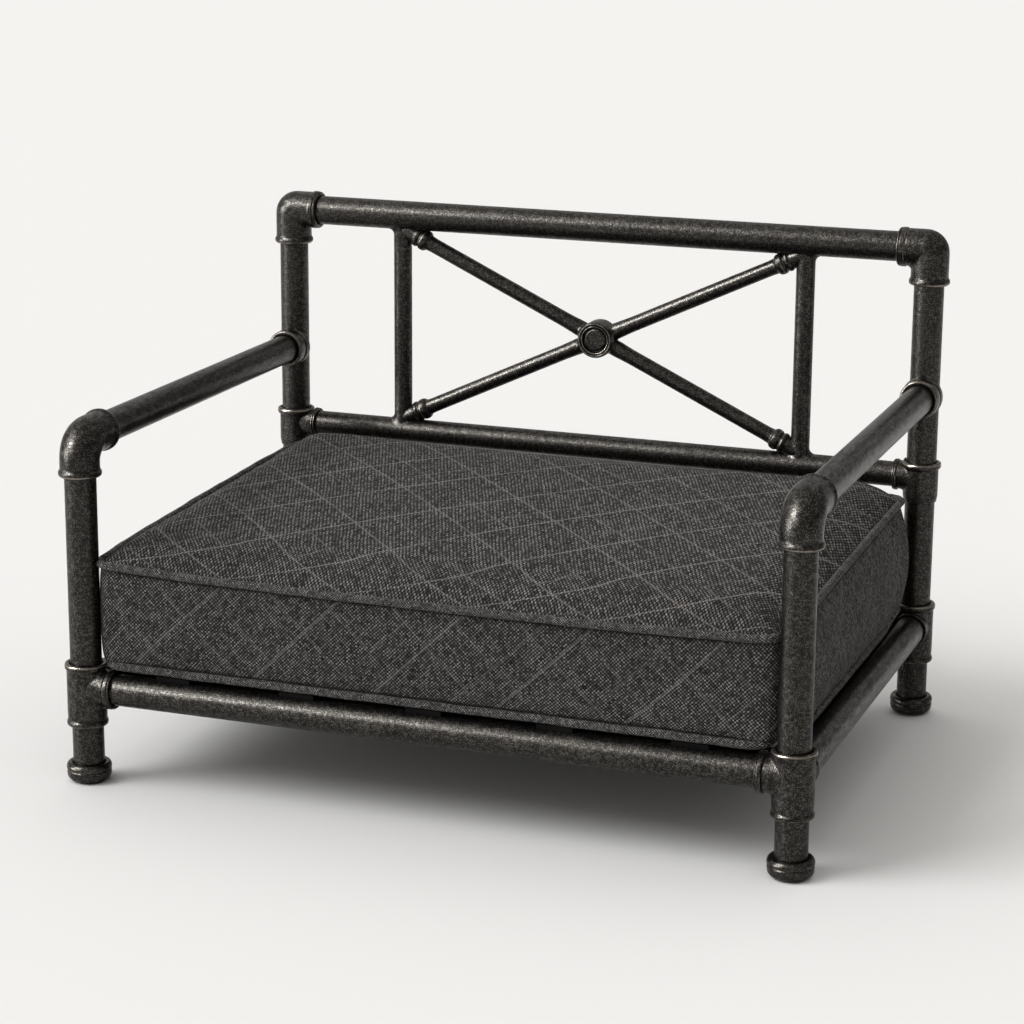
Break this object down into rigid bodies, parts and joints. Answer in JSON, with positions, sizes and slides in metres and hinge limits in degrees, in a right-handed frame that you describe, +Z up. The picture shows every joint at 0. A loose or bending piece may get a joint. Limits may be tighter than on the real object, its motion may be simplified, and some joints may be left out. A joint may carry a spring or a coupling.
{
  "type": "dog bed with pipe frame",
  "caption": "Pet bed with a dark iron pipe frame: corner posts, arms, a cross-braced back and seat rails that carry a boxed, piped charcoal cushion which lifts out.",
  "frame": {"origin": "on the floor, midway between the four posts", "axes": "+X to the right seen from the front, +Y from the front to the back, +Z up"},
  "size_m": [0.8148, 0.5882, 0.5567],
  "materials": {
    "pipe_iron": "blackened, satin",
    "fitting_iron": "blackened, sand cast",
    "slat_steel": "black powder coat",
    "glide_rubber": "matte",
    "cover_fabric": "charcoal weave",
    "zip_fabric": "tape weave",
    "foam": "open cell foam",
    "zip_metal": "black lacquer"
  },
  "bodies": {
    "frame": {"arm_collars": "fitting_iron", "arm_elbows": "fitting_iron", "arm_rail_left": "pipe_iron", "arm_rail_right": "pipe_iron", "back_tees": "fitting_iron", "deck_bar_front": "slat_steel", "deck_bar_left": "slat_steel", "deck_bar_rear": "slat_steel", "deck_bar_right": "slat_steel", "front_corner_tees": "fitting_iron", "front_foot_caps": "fitting_iron", "front_foot_glides": "glide_rubber", "front_post_left": "pipe_iron", "front_post_right": "pipe_iron", "front_seat_rail": "pipe_iron", "hub_plug": "fitting_iron", "hub_ring": "fitting_iron", "lower_back_rail": "pipe_iron", "lower_braces": "fitting_iron", "rear_corner_tees": "fitting_iron", "rear_foot_caps": "fitting_iron", "rear_foot_glides": "glide_rubber", "rear_post_left": "pipe_iron", "rear_post_right": "pipe_iron", "rear_seat_rail": "pipe_iron", "side_seat_rail_left": "pipe_iron", "side_seat_rail_right": "pipe_iron", "slat_1": "slat_steel", "slat_2": "slat_steel", "slat_3": "slat_steel", "slat_4": "slat_steel", "slat_5": "slat_steel", "spindle_left": "pipe_iron", "spindle_right": "pipe_iron", "top_elbows": "fitting_iron", "top_rail": "pipe_iron", "upper_braces": "fitting_iron"},
    "cushion": {"cushion_cover": "cover_fabric", "cushion_foam": "foam", "top_piping": "cover_fabric", "bottom_piping": "cover_fabric", "zip_tape": "zip_fabric"},
    "zip_slider": {"zip_slider": "zip_metal"}
  },
  "joints": [
    {"name": "cushion_lift", "type": "slide", "parent": "frame", "child": "cushion", "axis": [0, 0, 1], "range_m": [0, 0.45]},
    {"name": "zip_run", "type": "slide", "parent": "cushion", "child": "zip_slider", "axis": [1, 0, 0], "range_m": [0, 0.48]}
  ]
}
